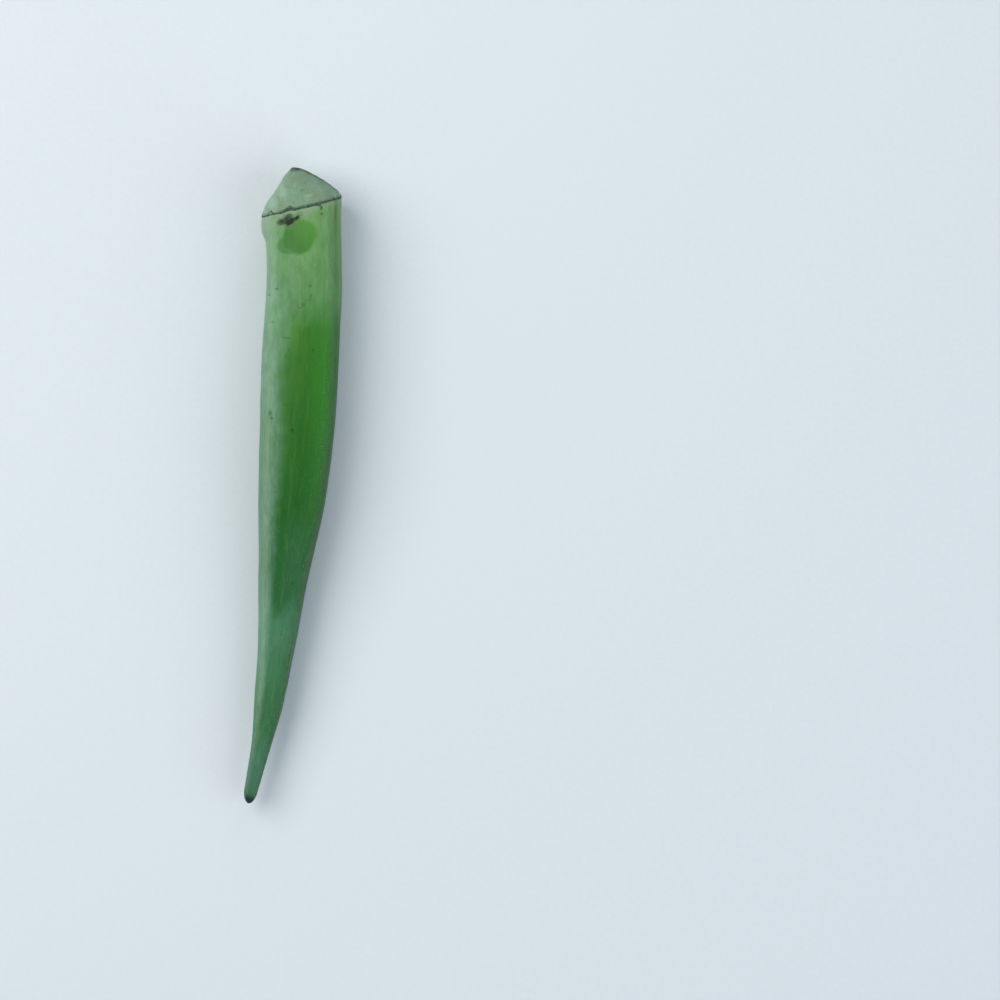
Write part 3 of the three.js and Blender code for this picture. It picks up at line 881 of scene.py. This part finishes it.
stemCap = {
    "outline": [  # height above the scar, mean radius
        (0.6, 9.7), (3, 8.15), (5.2, 6.05), (7, 4.75), (8.4, 4.05), (11.2, 1.4),
    ],
    "outlineSamples": 600,
    "lean": 0.029,  # sideways drift, times the height squared
    "cutPoint": (3.04, 6.85, -0.41),  # across, along the cap, up
    "cutFacing": (0.62, 0.77, -0.28),
    "cutSearch": (0.3, 400),  # where the search for the cut starts, and its steps
    "columnsPerFace": 48,
    "wallRows": 96,
    "faceRows": 26,

    # relief of the wall
    "wallFade": (0.3, 1.6),  # heights over which it grows
    "fibre": 0.03,
    "fibreNoise": [(1, 85, 2.6, 31), (0.6, 130, 1.3, 32)],
    "lumps": 0.2,
    "lumpNoise": [(1, 16, 2.4, 33), (0.5, 34, 1.1, 34)],
    "crestRadius": 7,  # turns angles from the crests into millimetres
    "ribHeight": 0.12,
    "ribWidth": 0.7,
    "ribFade": (0.5, 3),  # distances from the cut
    "rimLip": 0.12,  # the dried edge of the cut stands proud of the pith
    "lipWidth": 0.28,
    "lipStrength": 0.7,
    "lipNoise": [(0.5, 40, 2, 35)],
    "rimRound": 0.15,  # the lower rim, at the scar
    "rimRoundHeight": 0.3,

    # relief of the cut face, at shares of the way from the edge to the middle
    "pithDip": 0.35,
    "pithEdge": (0.02, 0.35),
    "ringRadius": 0.66,  # the woody ring, as a share of the way from the middle to the edge
    "ringWidth": 0.07,
    "ringDip": 0.16,
    "ringNoise": [(0.7, 34, 1, 36)],
    "pithRings": 9,
    "pithNoise": [(0.05, 22, 1, 37)],
    "faceRadius": 3.4,

    "paleFlankDegrees": -95,  # the left flank is paler: pale bloom, and painted light on the side that faces the lamp
    "paleFlankWidth": 31.5,
    "ridgeTintWidth": 0.8,
    # textures: scale along the cap against 1 across it, then scale, detail, roughness and distortion
    "textures": {
        "streaks": (0.22, 2.6, 4, 0.65, 0.2),
        "fineStreaks": (0.16, 7.0, 3, 0.6),
        "mottle": (1, 0.8, 4, 0.6, 0.3),
        "grain": (1, 10.0, 3, 0.65),
        "facets": (0.25, 0.33, 2, 0.5),
        "ragged": (1, 1.1, 4, 0.6),
        "raggedEdge": (1, 2.2, 3, 0.6),
        "dryness": (1, 0.35, 3, 0.6),
    },
    "speckScale": 0.9,
    "speckStretch": 0.6,
    # ranges of a texture or a place, and what their two ends become
    "ranges": {
        "facets": (0.45, 0.6, 0, 0.4),
        "fibre": (0.48, 0.68, 0, 0.28),
        "pale": (0.5, 0.72, 0, 0.28),
        "darkStreaks": (0.35, 0.7, 0.0, 0.12),
        "ragged": (0.3, 0.7, -0.35, 0.35),
        "shade": (0.0, 0.8, 0.45, 0),
        "chosenCells": (0.66, 0.7),
        "speck": (0.08, 0.15, 1, 0),
        "pith": (0.4, 0.65),
        "ring": (0.03, 0.12, 0.8, 0),
        "raggedEdge": (0, 1, -0.25, 0.25),
        "dryness": (0.35, 0.65, 0.5, 0.9),
        "edge": (0.2, 0.8, 1, 0),
        "gloss": (0.3, 0.7, 0.55, 0.7),
    },
    "ridgeShare": 0.15,
    "paleFlankShare": 0.45,
    "speckShare": 0.6,
    "patchDepth": 0.9,  # share of the radius at which the patches lie
    "patchFade": (0.3, 1.5),
    "dullFace": 0.15,
    "heights": {"streaks": 0.13, "fineStreaks": 0.05, "grain": 0.03},

    "wall": [(0.0, "#728c71"), (0.1, "#78977b"), (0.45, "#75967c"), (0.85, "#6e8d77"), (1.0, "#6e8b79")],
    "tones": {
        "fibre": "#5f7f62",
        "pale": "#9bb8a5",
        "olive": "#75886a",
        "bluish": "#6f9c86",
        "edge": "#2b3533",
        "dried": "#4c5d66",  # the dry corner of the cut
        "paleFlank": "#b6cac6",
        "shade": "#34483a",  # under the lifted tooth of the scar
        "pith": "#c9cfa8",
        "wood": "#9aa878",
        "speck": "#39412f",
    },
    "finish": {
        "IOR": 1.4,
        "Specular IOR Level": 0.35,
        "Sheen Weight": 0.15,
        "Sheen Roughness": 0.5,
        "Sheen Tint": "#d9e2d2",
        "Subsurface Weight": 0.05,
        "Subsurface Scale": 1.0 * mm,
        "Subsurface Radius": (0.7, 1.0, 0.5),
    },
    # soft patches: tone, across, height above the scar, half height, half width, share
    "patches": [
        ("olive", 2.15, 7.2, 1.5, 2.3, 0.5), ("olive", -5.3, 1.4, 1.2, 1.2, 0.6),
        ("pale", -6.3, 2.65, 1.8, 1.2, 0.5), ("bluish", 4.4, 5.7, 1.6, 1.1, 0.3),
        ("pale", -3.5, 6.1, 2.6, 0.8, 0.3), ("pale", -3.5, 4.4, 1.5, 1.3, 0.35),
        ("fibre", 1.15, 4.05, 0.35, 0.62, 0.6), ("fibre", 2.4, 3.25, 0.2, 0.9, 0.4),
        ("pale", 2.6, 2.4, 0.4, 0.9, 0.2), ("fibre", 7.55, 1.25, 1.6, 0.9, 0.4),
        ("dried", 0.75, 9.1, 0.42, 1.3, 0.8), ("shade", -2.8, 0.4, 0.45, 1.5, 0.85),
    ],
}


def capRadius(height):
    return outlineRadius(stemCap["outline"], height, stemCap["outlineSamples"])


def capRise(height):
    return podForm["ridgeRise"] * (1 - smoothRise(height, 0, stemCap["outline"][-1][0]))


# Points of the cap, across, along and up from the middle of the scar, before it is placed
def capPoints(x, height, z):
    x = swelled(x, height) + stemCap["lean"] * height ** 2
    return np.stack([x, np.broadcast_to(height, x.shape), z], -1)


def placeAtScar(points):
    middle = axisPoint(np.zeros(1))[0]
    return middle + across * points[..., :1] + along * points[..., 1:2] + scarUp * points[..., 2:]


# The wall's points at a height, with its relief
def wallPoints(angle, lift, height, relief=0.0):
    reach = capRadius(height) * (1 + lift * capRise(height)) + relief
    return capPoints(reach * np.sin(angle), height, reach * np.cos(angle))


# The height at which each meridian meets the slanting cut
def findCut(angle, lift, facing):
    start, steps = stemCap["cutSearch"]
    heights = np.linspace(start, stemCap["outline"][-1][0], steps)[:, None]
    beyond = (wallPoints(angle, lift, heights) - np.array(stemCap["cutPoint"])) @ facing
    first = np.argmax(beyond > 0, axis=0)
    columns = np.arange(len(angle))
    before, after = beyond[first - 1, columns], beyond[first, columns]
    return heights[first - 1, 0] + (heights[1, 0] - heights[0, 0]) * before / (before - after)


def wallRelief(turn, height, toEdge, fromCrest):
    fade = smoothRise(height, *stemCap["wallFade"])
    relief = stemCap["fibre"] * fade * noiseLayers(turn, height, stemCap["fibreNoise"])
    relief = relief + stemCap["lumps"] * fade * noiseLayers(turn, height, stemCap["lumpNoise"])
    ribs = bump(fromCrest * stemCap["crestRadius"], stemCap["ribWidth"])
    relief = relief + stemCap["ribHeight"] * fade * ribs * smoothRise(toEdge, *stemCap["ribFade"])
    lip = bump(toEdge, stemCap["lipWidth"])
    lip = lip * (stemCap["lipStrength"] + noiseLayers(turn, height, stemCap["lipNoise"]))
    relief = relief + stemCap["rimLip"] * lip
    return relief - stemCap["rimRound"] * (1 - smoothRise(height, 0, stemCap["rimRoundHeight"]))


def faceDip(turn, inward):
    dip = stemCap["pithDip"] * smoothRise(inward, *stemCap["pithEdge"])
    ring = bump(1 - inward - stemCap["ringRadius"], stemCap["ringWidth"])
    dip = dip - stemCap["ringDip"] * ring * (1 + noiseLayers(turn, 0 * inward, stemCap["ringNoise"]))
    return dip + noiseLayers(turn, inward * stemCap["pithRings"], stemCap["pithNoise"])


def makeCapGrid():
    position = latheColumns(stemCap["columnsPerFace"])
    turn = position / ridgeCount
    angle, lift, fromCrest, _ = ridgeField(position, 0.0)
    facing = normalised(np.array(stemCap["cutFacing"]))
    cutHeight = findCut(angle, lift, facing)

    # the wall, from the scar to the cut
    share = np.linspace(0, 1, stemCap["wallRows"])[:, None]
    height = share * cutHeight[None, :]
    toEdge = (1 - share) * cutHeight[None, :]
    wall = wallPoints(angle, lift, height, wallRelief(turn, height, toEdge, fromCrest))

    # the cut face, from the edge to its middle
    edge = wall[-1]
    inward = np.linspace(0, 1, stemCap["faceRows"] + 1)[1:-1, None]
    face = blend(edge[None], edge.mean(0), inward[..., None]) - facing * faceDip(turn, inward)[..., None]
    points = np.concatenate([wall, face])

    def field(*parts):
        return np.concatenate([np.broadcast_to(part, on.shape[:2]) for part, on in zip(parts, (wall, face))])

    paleFlank = stripe(angle, stemCap["paleFlankDegrees"], stemCap["paleFlankWidth"])
    ridge = bump(fromCrest * stemCap["crestRadius"], stemCap["ridgeTintWidth"])
    fields = {
        "straight": points,
        "toEdge": field(toEdge, -inward * stemCap["faceRadius"]),
        "onFace": field(0.0, 1.0),
        "faceRing": field(0.0, 1 - inward),
        "riseShare": field(share, 1.0),
        "flank": field(paleFlank, paleFlank),
        "ridge": field(ridge, ridge),
    }
    return placeAtScar(points), fields


# The wall of the cap, with its soft patches and specks
def wallColor(tree, straight, texture):
    tones, ranges = stemCap["tones"], stemCap["ranges"]
    ridgeShare = calculate(tree, "MULTIPLY", readField(tree, "ridge"), stemCap["ridgeShare"])
    paleFlankShare = calculate(tree, "MULTIPLY", readField(tree, "flank"), stemCap["paleFlankShare"])
    darkShare = remap(tree, texture["fineStreaks"], *ranges["darkStreaks"])
    color = colorSteps(tree, readField(tree, "riseShare"), stemCap["wall"])
    color = mixColors(tree, remap(tree, texture["facets"], *ranges["facets"], True), color, tones["olive"])
    color = mixColors(tree, remap(tree, texture["streaks"], *ranges["fibre"]), color, tones["fibre"])
    color = mixColors(tree, remap(tree, texture["mottle"], *ranges["pale"]), color, tones["pale"])
    color = mixColors(tree, ridgeShare, color, tones["pale"])
    # pale bloom and painted light on the left flank
    color = mixColors(tree, paleFlankShare, color, tones["paleFlank"])
    color = mixColors(tree, darkShare, color, tones["fibre"], "MULTIPLY")

    ragged = remap(tree, texture["ragged"], *ranges["ragged"])
    aboveScar = calculate(tree, "ADD", addNode(tree, "SeparateXYZ", {0: straight}).outputs[1], ragged)
    color = mixColors(tree, remap(tree, aboveScar, *ranges["shade"], True), color, tones["shade"])
    for tone, side, height, halfHeight, halfWidth, share in stemCap["patches"]:
        centre = (side, height, float(capRadius(height)) * stemCap["patchDepth"])
        distance = spotDistance(tree, straight, centre, halfHeight, halfWidth)
        distance = calculate(tree, "ADD", distance, ragged)
        share = remap(tree, distance, *stemCap["patchFade"], share, 0, True)
        color = mixColors(tree, share, color, tones[tone])
    specks = calculate(tree, "MULTIPLY", speckShare(tree, straight, stemCap, 1), stemCap["speckShare"])
    return mixColors(tree, specks, color, tones["speck"])


# The cut: pith, woody ring and dark dried edge
def cutColor(tree, color, onFace, texture):
    tones, ranges = stemCap["tones"], stemCap["ranges"]
    pith = mixColors(tree, remap(tree, texture["grain"], *ranges["pith"]), tones["pith"], tones["wood"])
    offRing = calculate(tree, "SUBTRACT", readField(tree, "faceRing"), stemCap["ringRadius"])
    woody = remap(tree, calculate(tree, "ABSOLUTE", offRing), *ranges["ring"], True)
    color = mixColors(tree, onFace, color, mixColors(tree, woody, pith, tones["wood"]))
    raggedness = remap(tree, texture["raggedEdge"], *ranges["raggedEdge"])
    toEdge = calculate(tree, "ABSOLUTE", calculate(tree, "ADD", readField(tree, "toEdge"), raggedness))
    dryness = remap(tree, texture["dryness"], *ranges["dryness"])
    dark = calculate(tree, "MULTIPLY", remap(tree, toEdge, *ranges["edge"], True), dryness)
    return mixColors(tree, dark, color, tones["edge"])


def capMaterial():
    material, tree, shader = startMaterial("paleStemCap", stemCap["finish"])
    straight = readField(tree, "straight", "Vector")
    onFace = readField(tree, "onFace")
    texture = makeTextures(tree, straight, stemCap["textures"])
    color = cutColor(tree, wallColor(tree, straight, texture), onFace, texture)
    tree.links.new(color, shader.inputs["Base Color"])

    gloss = remap(tree, texture["streaks"], *stemCap["ranges"]["gloss"])
    gloss = calculate(tree, "ADD", gloss, calculate(tree, "MULTIPLY", onFace, stemCap["dullFace"]), True)
    tree.links.new(gloss, shader.inputs["Roughness"])
    tree.links.new(raiseTextures(tree, texture, stemCap["heights"]), shader.inputs["Normal"])
    return material


capGrid, capFields = makeCapGrid()
capGrid[..., 2] = np.maximum(capGrid[..., 2], 0)
cap = meshFromGrid("stemCap", capGrid, shift, capFields)
cap.data.materials.append(capMaterial())
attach(cap, "root")
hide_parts("stem_cap")
print("stem cap:", len(cap.data.polygons), "faces")


# The scar that the fallen calyx left: a thin corky bead between pod and cap, with small teeth

scar = {
    "wave": 0.12,
    "waveNoise": [(0.7, 17, 1, 51), (0.5, 41, 1, 52)],
    "halfWidth": 0.16,
    "widthNoise": [(0.45, 60, 1, 53), (0.25, 140, 1, 54)],
    "height": 0.14,
    "heightStrength": 0.8,
    "heightNoise": [(0.35, 75, 0.8, 55)],
    "lowered": 0.06,  # the bead's edges lie this far in the skin
    "sunk": 0.4,  # and its inner side this far
    "columnsPerFace": 140,
    "section": 10,
    "toothPeak": 1.2,  # 1 is a straight-sided tooth, and more is a sharper one
    # where the line runs up round a small tooth: degrees from the top, height, degrees before and after
    "teeth": [
        (-46.5, 0.95, 6, 7), (-15.5, 1.1, 13, 5.5), (56.5, 0.45, 2.5, 3.5), (72, 0.9, 6, 4),
        (95, 0.4, 5, 6), (131, 0.5, 5, 7), (158, 0.7, 6, 4), (186, 1.1, 6.5, 9),
        (222, 1.4, 7.5, 5), (251, 0.6, 5, 6), (284, 1.0, 6, 5),
    ],
    "knotSpread": 0.6,
    # thicker knots on the line: degrees from the top, extra half width, spread in degrees
    "knots": [
        (-51, 0.2, 4), (-46.5, 0.1, 3), (-41, 0.14, 3), (-30, 0.16, 4), (-24, 0.14, 5), (-19, 0.16, 4),
        (-12, 0.3, 5), (-7, 0.2, 5), (4, 0.15, 9), (12, 0.1, 5), (22.5, 0.45, 6.5), (28, 0.08, 3),
        (57.5, 0.26, 3), (77, 0.2, 5), (89, 0.25, 4), (140, 0.2, 5), (171, 0.3, 4), (204, 0.25, 5),
        (237, 0.2, 5), (268, 0.3, 4),
    ],
    "textures": {"patches": (1, 1.3, 4, 0.65), "grain": (1, 7.0, 3, 0.65)},
    "tint": [(0.36, "#31483a"), (0.56, "#4a6350"), (0.74, "#789379")],
    "dark": "#31483a",
    "darkRange": (0.4, 0.7, 0, 0.6),
    "gloss": (0.3, 0.7, 0.7, 0.9),
    "heights": {"patches": 0.2, "grain": 0.12},
    "finish": {"Specular IOR Level": 0.25},
}


def makeScarGrid():
    position = latheColumns(scar["columnsPerFace"])[None, :]
    turn = position / ridgeCount
    angle, lift, _, _ = ridgeField(position, 0.0)
    middle = scar["wave"] * noiseLayers(turn, 0 * turn, scar["waveNoise"])
    halfWidth = scar["halfWidth"] * (1 + noiseLayers(turn, 0 * turn, scar["widthNoise"]))
    for degrees, height, runBefore, runAfter in scar["teeth"]:
        off = np.degrees(turnFrom(angle, degrees))
        nearness = np.clip(1 - np.where(off < 0, -off / runBefore, off / runAfter), 0, 1)
        middle = middle + height * nearness ** scar["toothPeak"]
    for degrees, extra, spread in scar["knots"]:
        halfWidth = halfWidth + extra * stripe(angle, degrees, spread * scar["knotSpread"])

    # its section follows the skins of pod and cap
    section = np.linspace(-1, 1, scar["section"])[:, None]
    level = middle + section * halfWidth
    edge = podForm["outline"][0][0]
    skin = np.where(level > edge, capRadius(np.maximum(level, edge)), podRadius(np.maximum(-level, edge)))
    skin = skin * (1 + lift * capRise(level))
    unevenness = scar["heightStrength"] + noiseLayers(turn, section, scar["heightNoise"])
    height = scar["height"] * (1 - section ** 2) ** 0.5 * unevenness
    reach = np.vstack([skin + height - scar["lowered"], skin[[-1, 0]] - scar["sunk"]])
    level = np.vstack([level, level[[-1, 0]]])
    x, z = reach * np.sin(angle), reach * np.cos(angle)
    return placeAtScar(capPoints(x, level, z)), {"straight": np.stack([x, level, z], -1)}


def scarMaterial():
    material, tree, shader = startMaterial("corkyScar", scar["finish"])
    texture = makeTextures(tree, readField(tree, "straight", "Vector"), scar["textures"])
    color = colorSteps(tree, texture["patches"], scar["tint"])
    color = mixColors(tree, remap(tree, texture["grain"], *scar["darkRange"]), color, scar["dark"])
    tree.links.new(color, shader.inputs["Base Color"])
    tree.links.new(remap(tree, texture["grain"], *scar["gloss"]), shader.inputs["Roughness"])
    tree.links.new(raiseTextures(tree, texture, scar["heights"]), shader.inputs["Normal"])
    return material


scarGrid, scarFields = makeScarGrid()
scarGrid[..., 2] = np.maximum(scarGrid[..., 2], 0)
scarBead = meshFromGrid("calyxScar", scarGrid, shift, scarFields, ringInside=True)
scarBead.data.materials.append(scarMaterial())
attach(scarBead, "root")
print("calyx scar:", len(scarBead.data.polygons), "faces")


# Short hairs, densest on the ridges

hairs = {
    "seed": 71,
    "podCount": 5200,
    "capCount": 500,
    "evenDensity": 0.12,  # away from the ridges, against 1 on them
    "capDensity": 0.4,
    "rootHeight": 0.8,  # none start lower than this
    "bareRows": (6, 30),  # rows at the start and the end of a grid
    "length": (0.25, 0.6),
    "baseRadius": 0.017,
    "middleTaper": 0.7,
    "rootDepth": 0.03,
    "scatter": 0.35,
    "baseLean": 0.35,  # the lower half's lean towards the tip, against 1 straight out
    "tipLean": 0.9,
    "tipRise": 0.6,
    "tipScatter": 1.4,
    "clearance": 0.15,  # above the surface that the pod lies on
    "root": "#7f9c66",
    "tip": "#c9d6b4",
    "texture": (900.0, 2, 0.5),
    "toneRange": (0.3, 0.7, -0.2, 0.2),
    "gloss": (0.3, 0.7, 0.42, 0.6),
    "finish": {"Specular IOR Level": 0.4},
}


def chooseRoots(dice, weight, count):
    chosen = dice.choice(weight.size, size=count, replace=False, p=(weight / weight.sum()).ravel())
    return np.unravel_index(chosen, weight.shape)


# Two-step tapering hairs with three sides, bent over towards the lean
def hairPoints(dice, roots, normals, lean):
    count = len(roots)
    length = dice.uniform(*hairs["length"], count)[:, None]
    scatter = dice.normal(0, hairs["scatter"], (count, 3))
    rising = normalised(normals + hairs["baseLean"] * lean + scatter)
    bent = normals * hairs["tipRise"] + lean * hairs["tipLean"] + scatter * hairs["tipScatter"]
    middle = roots + rising * length * 0.5
    end = middle + normalised(bent) * length * 0.5
    anyCrossing = np.array([0.3, 0.2, 0.93])
    sideways = normalised(np.cross(rising, anyCrossing))
    other = np.cross(rising, sideways)
    base = hairs["baseRadius"]
    sections = ((roots - normals * hairs["rootDepth"], base), (middle, base * hairs["middleTaper"]))
    rings = []
    for centre, radius in sections:
        for corner in range(3):
            turn = corner * 2 * math.pi / 3
            rings.append(centre + radius * (math.cos(turn) * sideways + math.sin(turn) * other))
    return np.stack([*rings, end], 1)


def growHairs(dice, grid, ridge, count, areaCounts):
    bareStart, bareEnd = hairs["bareRows"]
    weight = (hairs["evenDensity"] + ridge) * (grid[..., 2] > hairs["rootHeight"])
    weight[:bareStart] = 0
    weight[-bareEnd:] = 0
    if areaCounts:
        alongStep = np.linalg.norm(np.gradient(grid, axis=0), axis=-1)
        roundStep = np.linalg.norm(np.roll(grid, -1, axis=1) - grid, axis=-1)
        weight = weight * (alongStep * roundStep)
    rows, columns = chooseRoots(dice, weight, count)
    return hairPoints(dice, grid[rows, columns], gridNormals(grid)[rows, columns], -along)


def makeHairs():
    dice = np.random.default_rng(hairs["seed"])
    onPod = growHairs(dice, podGrid, podFields["ridge"], hairs["podCount"], True)
    onCap = growHairs(dice, capGrid, capFields["ridge"] * hairs["capDensity"], hairs["capCount"], False)
    points = np.concatenate([onPod, onCap])
    points = points[points[..., 2].min(axis=1) > hairs["clearance"]]
    sides = [(0, 1, 4, 3), (1, 2, 5, 4), (2, 0, 3, 5), (3, 4, 6), (4, 5, 6), (5, 3, 6)]
    each = points.shape[1]
    faces = [tuple(each * hair + corner for corner in side) for hair in range(len(points)) for side in sides]
    mesh = bpy.data.meshes.new("podHairs")
    mesh.from_pydata(((points.reshape(-1, 3) + shift) * mm).tolist(), [], faces)
    share = np.tile(np.array([0, 0, 0, 0.5, 0.5, 0.5, 1], np.float32), len(points))  # from root to tip
    mesh.attributes.new("hairShare", "FLOAT", "POINT").data.foreach_set("value", share)
    mesh.shade_smooth()
    return addObject("podHairs", mesh)


def hairMaterial():
    material, tree, shader = startMaterial("paleHair", hairs["finish"])
    variety = noise(tree, addNode(tree, "TexCoord").outputs["Object"], *hairs["texture"])
    change = remap(tree, variety, *hairs["toneRange"])
    share = calculate(tree, "ADD", readField(tree, "hairShare"), change, True)
    tree.links.new(mixColors(tree, share, hairs["root"], hairs["tip"]), shader.inputs["Base Color"])
    tree.links.new(remap(tree, variety, *hairs["gloss"]), shader.inputs["Roughness"])
    return material


fuzz = makeHairs()
fuzz.data.materials.append(hairMaterial())
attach(fuzz, "root")
print("hairs:", len(fuzz.data.polygons), "faces")


# Floor, light and camera

stageSetup = {
    "floorSize": 6000,
    "floorLevel": -0.02,
    "floor": [(0.35, "#d6dfe6"), (0.65, "#d8e1e7")],
    "texture": (900.0, 2, 0.5),
    "gloss": (0.3, 0.7, 0.75, 0.85),
    "finish": {"Specular IOR Level": 0.2},
    "sky": "#eef3f7",
    "skyStrength": 0.38,
    # name, place, width, power in watts, colour
    "lamps": [
        ("keyLamp", (-600, 330, 780), 820, 8.6, "#fffcf6"),
        ("fillLamp", (720, -320, 620), 900, 3.8, "#eef5ff"),
        ("backLamp", (150, 900, 500), 600, 1.4, "#ffffff"),
    ],
}

cameraSetup = {
    "middle": (49.31, -3.4),  # the point that it looks straight down at
    "viewWidth": 238,  # at the height of the pod's widest part
    "podHeight": 9,
    "height": 2000,
    "sensorWidth": 36,
    "farthest": 10,  # metres
}


def stageMaterial():
    material, tree, shader = startMaterial("paleFloor", stageSetup["finish"])
    grain = noise(tree, addNode(tree, "TexCoord").outputs["Object"], *stageSetup["texture"])
    tree.links.new(colorSteps(tree, grain, stageSetup["floor"]), shader.inputs["Base Color"])
    tree.links.new(remap(tree, grain, *stageSetup["gloss"]), shader.inputs["Roughness"])
    return material


def makeFloor():
    half, level = stageSetup["floorSize"] / 2 * mm, stageSetup["floorLevel"] * mm
    corners = [(-half, -half, level), (half, -half, level), (half, half, level), (-half, half, level)]
    mesh = bpy.data.meshes.new("floor")
    mesh.from_pydata(corners, [], [(0, 1, 2, 3)])
    mesh.materials.append(stageMaterial())
    floor = addObject("floor", mesh)


def makeLamps():
    for name, place, width, power, code in stageSetup["lamps"]:
        light = bpy.data.lights.new(name, "AREA")
        light.size = width * mm
        light.energy = power
        light.color = linearColor(code)[:3]
        lamp = addObject(name, light)
        lamp.location = Vector(place) * mm
        lamp.rotation_mode = "QUATERNION"
        lamp.rotation_quaternion = (-lamp.location).to_track_quat("-Z", "Y")


def makeSky():
    world = bpy.data.worlds.new("studio")
    world.use_nodes = True
    background = world.node_tree.nodes["Background"]
    background.inputs["Color"].default_value = linearColor(stageSetup["sky"])
    background.inputs["Strength"].default_value = stageSetup["skyStrength"]
    bpy.context.scene.world = world


def makeCamera():
    lens = bpy.data.cameras.new("camera")
    distance = cameraSetup["height"] - cameraSetup["podHeight"]
    lens.sensor_width = cameraSetup["sensorWidth"]
    lens.lens = lens.sensor_width * distance / cameraSetup["viewWidth"]
    lens.clip_end = cameraSetup["farthest"]
    camera = addObject("camera", lens)
    camera.location = Vector((*cameraSetup["middle"], cameraSetup["height"])) * mm
    bpy.context.scene.camera = camera


makeFloor()
makeLamps()
makeSky()
makeCamera()
bpy.context.scene.view_settings.view_transform = "Standard"
print("stage and camera set")
